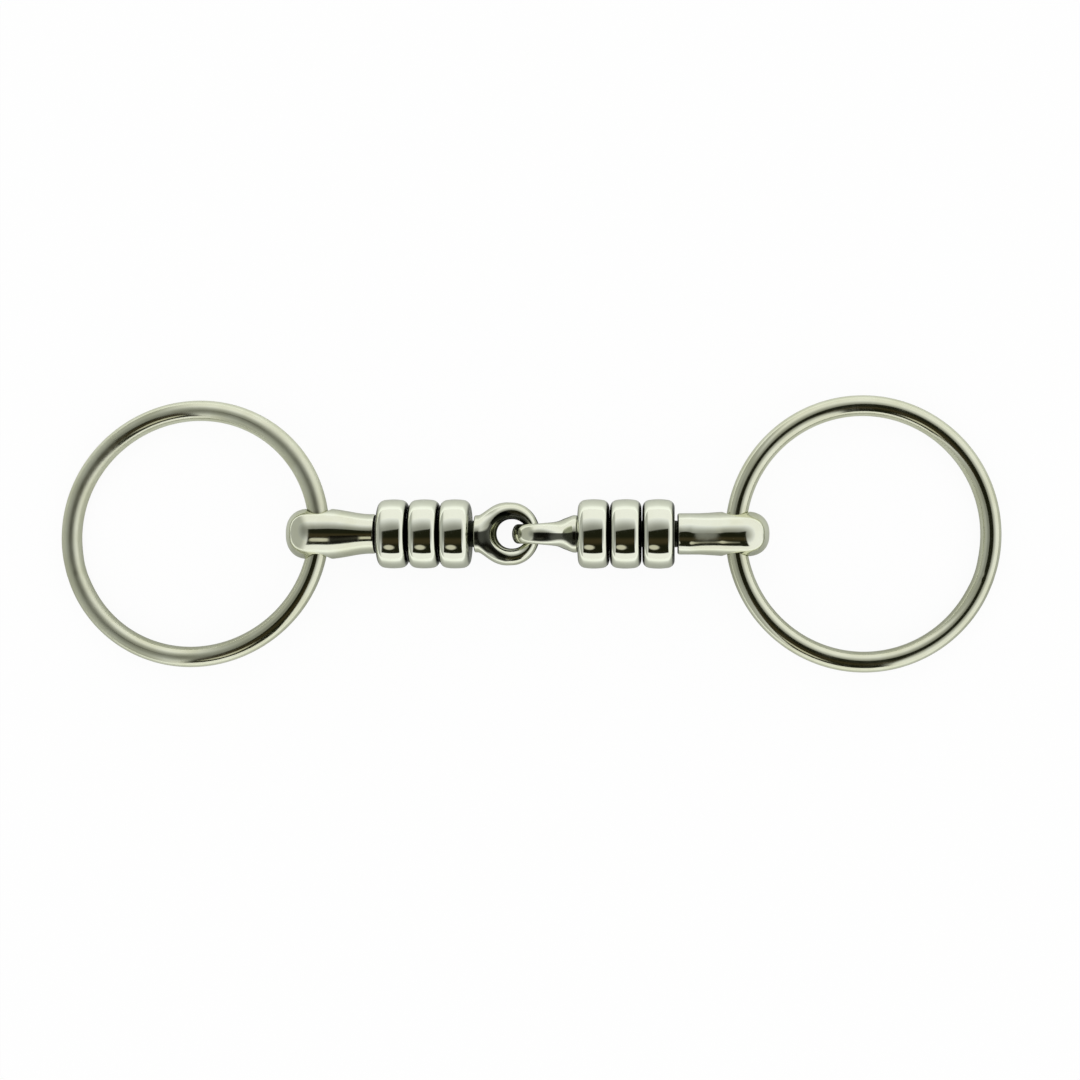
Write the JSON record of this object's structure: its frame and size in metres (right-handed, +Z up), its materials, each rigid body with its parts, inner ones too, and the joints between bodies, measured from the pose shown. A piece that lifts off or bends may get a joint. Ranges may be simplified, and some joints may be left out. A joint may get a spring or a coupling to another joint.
{
  "type": "snaffle bit",
  "caption": "Loose-ring snaffle bit: jointed steel mouthpiece of two arms linked by eyes, with rollers turning on each arm and a round wire ring loose in each hub.",
  "frame": {"origin": "centre joint, midway between the tips of the two interlocked eyes", "axes": "+X along the mouthpiece towards the right ring, +Y across it, +Z up from the table the bit lies on"},
  "size_m": [0.2912, 0.085, 0.0212],
  "materials": {
    "ring_steel": "polished stainless steel, fine lengthwise polishing marks",
    "mouthpiece_steel": "mirror-polished stainless steel casting",
    "roller_steel": "turned and mirror-polished stainless steel"
  },
  "bodies": {
    "left_arm": {"left_butt": "mouthpiece_steel", "left_eye_stem": "mouthpiece_steel"},
    "right_arm": {"right_butt": "mouthpiece_steel", "right_eye_stem": "mouthpiece_steel"},
    "left_ring": {"left_ring": "ring_steel"},
    "right_ring": {"right_ring": "ring_steel"},
    "left_roller_1": {"left_roller_1": "roller_steel"},
    "left_roller_2": {"left_roller_2": "roller_steel"},
    "left_roller_3": {"left_roller_3": "roller_steel"},
    "right_roller_1": {"right_roller_1": "roller_steel"},
    "right_roller_2": {"right_roller_2": "roller_steel"},
    "right_roller_3": {"right_roller_3": "roller_steel"}
  },
  "joints": [
    {"name": "centre_fold", "type": "hinge", "parent": "left_arm", "child": "right_arm", "pos_m": [0.00272, 0, 0], "axis": [0, 1, 0], "range_deg": [-100, 100]},
    {"name": "left_ring_swing", "type": "hinge", "parent": "left_arm", "child": "left_ring", "pos_m": [-0.06425, 0, 0], "axis": [0, 1, 0], "range_deg": [-144, 155]},
    {"name": "right_ring_swing", "type": "hinge", "parent": "right_arm", "child": "right_ring", "pos_m": [0.06425, 0, 0], "axis": [0, -1, 0], "range_deg": [-144, 155]},
    {"name": "left_roller_1_spin", "type": "hinge", "parent": "left_arm", "child": "left_roller_1", "pos_m": [-0.04102, 0, 0], "axis": [1, 0, 0], "continuous": true},
    {"name": "left_roller_2_spin", "type": "hinge", "parent": "left_arm", "child": "left_roller_2", "pos_m": [-0.03122, 0, 0], "axis": [1, 0, 0], "continuous": true},
    {"name": "left_roller_3_spin", "type": "hinge", "parent": "left_arm", "child": "left_roller_3", "pos_m": [-0.02142, 0, 0], "axis": [1, 0, 0], "continuous": true},
    {"name": "right_roller_1_spin", "type": "hinge", "parent": "right_arm", "child": "right_roller_1", "pos_m": [0.04046, 0, 0], "axis": [1, 0, 0], "continuous": true},
    {"name": "right_roller_2_spin", "type": "hinge", "parent": "right_arm", "child": "right_roller_2", "pos_m": [0.03066, 0, 0], "axis": [1, 0, 0], "continuous": true},
    {"name": "right_roller_3_spin", "type": "hinge", "parent": "right_arm", "child": "right_roller_3", "pos_m": [0.02086, 0, 0], "axis": [1, 0, 0], "continuous": true}
  ]
}
